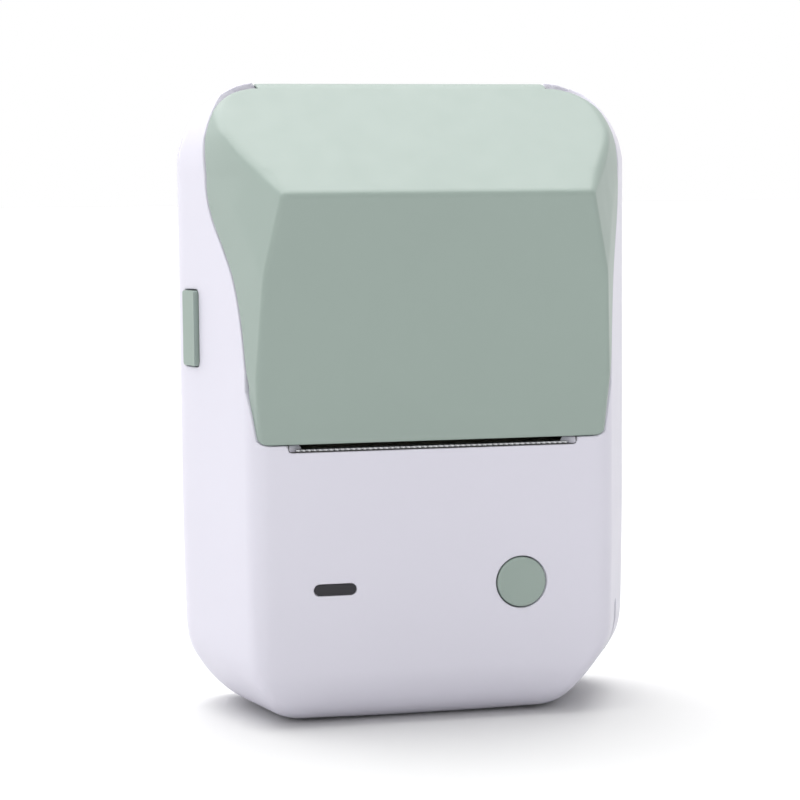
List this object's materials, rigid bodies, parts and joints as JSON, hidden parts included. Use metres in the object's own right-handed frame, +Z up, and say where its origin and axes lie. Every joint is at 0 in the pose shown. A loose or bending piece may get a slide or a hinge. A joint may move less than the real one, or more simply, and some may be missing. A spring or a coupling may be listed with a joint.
{
  "type": "handheld label printer",
  "caption": "Upright handheld thermal label printer: white case, hinged sage lid over a drop-in roll, front label slot with tear bar, round power button and side release.",
  "frame": {"origin": "bottom centre of the bounding box, on the flat base", "axes": "+X to the right as seen from the front, +Y to the back, +Z up; the label slot faces -Y"},
  "size_m": [0.083, 0.04, 0.1138],
  "materials": {
    "white_abs": "satin moulded",
    "sage_abs": "satin moulded",
    "frame_abs": "matt",
    "nylon": "matt",
    "steel": "satin",
    "aluminium": "extruded",
    "brass": "machined",
    "rubber": "ground",
    "ceramic": "glazed",
    "label_paper": "coated",
    "core_card": "wound",
    "smoked_window": "polished",
    "board": "lacquered",
    "black_plastic": "moulded",
    "cream_plastic": "moulded",
    "cell_wrap": "shrink wrap",
    "led_lens": "clear lens"
  },
  "bodies": {
    "case": {"body_shell": "white_abs", "rear_cover": "white_abs", "chassis": "frame_abs", "hinge_pin": "steel", "feed_motor": "steel", "head_pivot_pin": "steel", "head_spring_left": "steel", "head_spring_right": "steel", "tear_bar": "steel", "label_web": "label_paper", "gap_sensor": "black_plastic", "main_board": "board", "processor": "black_plastic", "head_connector": "cream_plastic", "battery_connector": "cream_plastic", "power_switch": "black_plastic", "status_led": "led_lens", "usb_socket": "steel", "battery": "cell_wrap", "indicator_window": "smoked_window", "lid_switch": "black_plastic", "case_screw_1": "steel", "case_screw_2": "steel", "case_screw_3": "steel", "case_screw_4": "steel"},
    "lid": {"lid_cover": "sage_abs", "lid_frame": "frame_abs", "lid_screw_left": "steel", "lid_screw_right": "steel", "platen_bushing_left": "brass", "platen_bushing_right": "brass"},
    "platen": {"platen_shaft": "steel", "platen_rubber": "rubber", "platen_gear": "nylon"},
    "idler": {"idler_gear": "nylon"},
    "reduction": {"reduction_gear": "nylon"},
    "pinion": {"motor_pinion": "brass"},
    "roll": {"label_roll": "label_paper", "roll_core": "core_card"},
    "left_guide": {"roll_guide_left": "nylon"},
    "right_guide": {"roll_guide_right": "nylon"},
    "centring": {"centring_pinion": "nylon"},
    "head": {"print_head": "ceramic", "head_bracket": "aluminium"},
    "power": {"power_button": "sage_abs"},
    "release": {"release_button": "sage_abs"},
    "latch": {"latch_lever": "nylon"}
  },
  "joints": [
    {"name": "lid_hinge", "type": "hinge", "parent": "case", "child": "lid", "pos_m": [0, 0.014, 0.1077], "axis": [-1, 0, 0], "range_deg": [0, 85]},
    {"name": "platen_spin", "type": "hinge", "parent": "lid", "child": "platen", "pos_m": [0, -0.0076, 0.0538], "axis": [1, 0, 0], "continuous": true},
    {"name": "idler_spin", "type": "hinge", "parent": "case", "child": "idler", "pos_m": [0.0295, -0.00092, 0.05112], "axis": [1, 0, 0], "continuous": true},
    {"name": "reduction_spin", "type": "hinge", "parent": "case", "child": "reduction", "pos_m": [0.0305, 0.00298, 0.04656], "axis": [1, 0, 0], "continuous": true},
    {"name": "motor_spin", "type": "hinge", "parent": "case", "child": "pinion", "pos_m": [0.0312, 0.0102, 0.05], "axis": [1, 0, 0], "continuous": true},
    {"name": "roll_spin", "type": "hinge", "parent": "case", "child": "roll", "pos_m": [0, 0, 0.0802], "axis": [1, 0, 0], "continuous": true},
    {"name": "left_guide_slide", "type": "slide", "parent": "case", "child": "left_guide", "axis": [-1, 0, 0], "range_m": [0, 0.002], "stiffness_N_per_m": 60, "springref_m": -0.002},
    {"name": "right_guide_slide", "type": "slide", "parent": "case", "child": "right_guide", "axis": [1, 0, 0], "range_m": [0, 0.002]},
    {"name": "centring_turn", "type": "hinge", "parent": "case", "child": "centring", "pos_m": [0, 0, 0.0614], "axis": [0, 0, 1], "range_deg": [-57.3, 0]},
    {"name": "head_rock", "type": "hinge", "parent": "case", "child": "head", "pos_m": [0, 0.0008, 0.0465], "axis": [1, 0, 0], "range_deg": [0, 2.5], "stiffness_Nm_per_rad": 0.25, "springref_deg": -2.29, "deforming": ["head_spring_left", "head_spring_right"]},
    {"name": "power_press", "type": "slide", "parent": "case", "child": "power", "axis": [0, 1, 0], "range_m": [0, 0.0004], "stiffness_N_per_m": 1500, "springref_m": -0.0003},
    {"name": "release_press", "type": "slide", "parent": "case", "child": "release", "axis": [0.9187, 0.3951, 0], "range_m": [0, 0.0015], "stiffness_N_per_m": 500, "springref_m": -0.0008},
    {"name": "latch_turn", "type": "hinge", "parent": "case", "child": "latch", "pos_m": [-0.0292, -0.0055, 0.0645], "axis": [1, 0, 0], "range_deg": [0, 8.4]}
  ],
  "couplings": [
    {"joint": "idler_spin", "follows": "platen_spin", "ratio": -1},
    {"joint": "reduction_spin", "follows": "platen_spin", "ratio": 1.5},
    {"joint": "motor_spin", "follows": "platen_spin", "ratio": -4.5},
    {"joint": "right_guide_slide", "follows": "left_guide_slide", "ratio": 1},
    {"joint": "centring_turn", "follows": "left_guide_slide", "rad_per_m": -500},
    {"joint": "latch_turn", "follows": "release_press", "rad_per_m": 97}
  ]
}
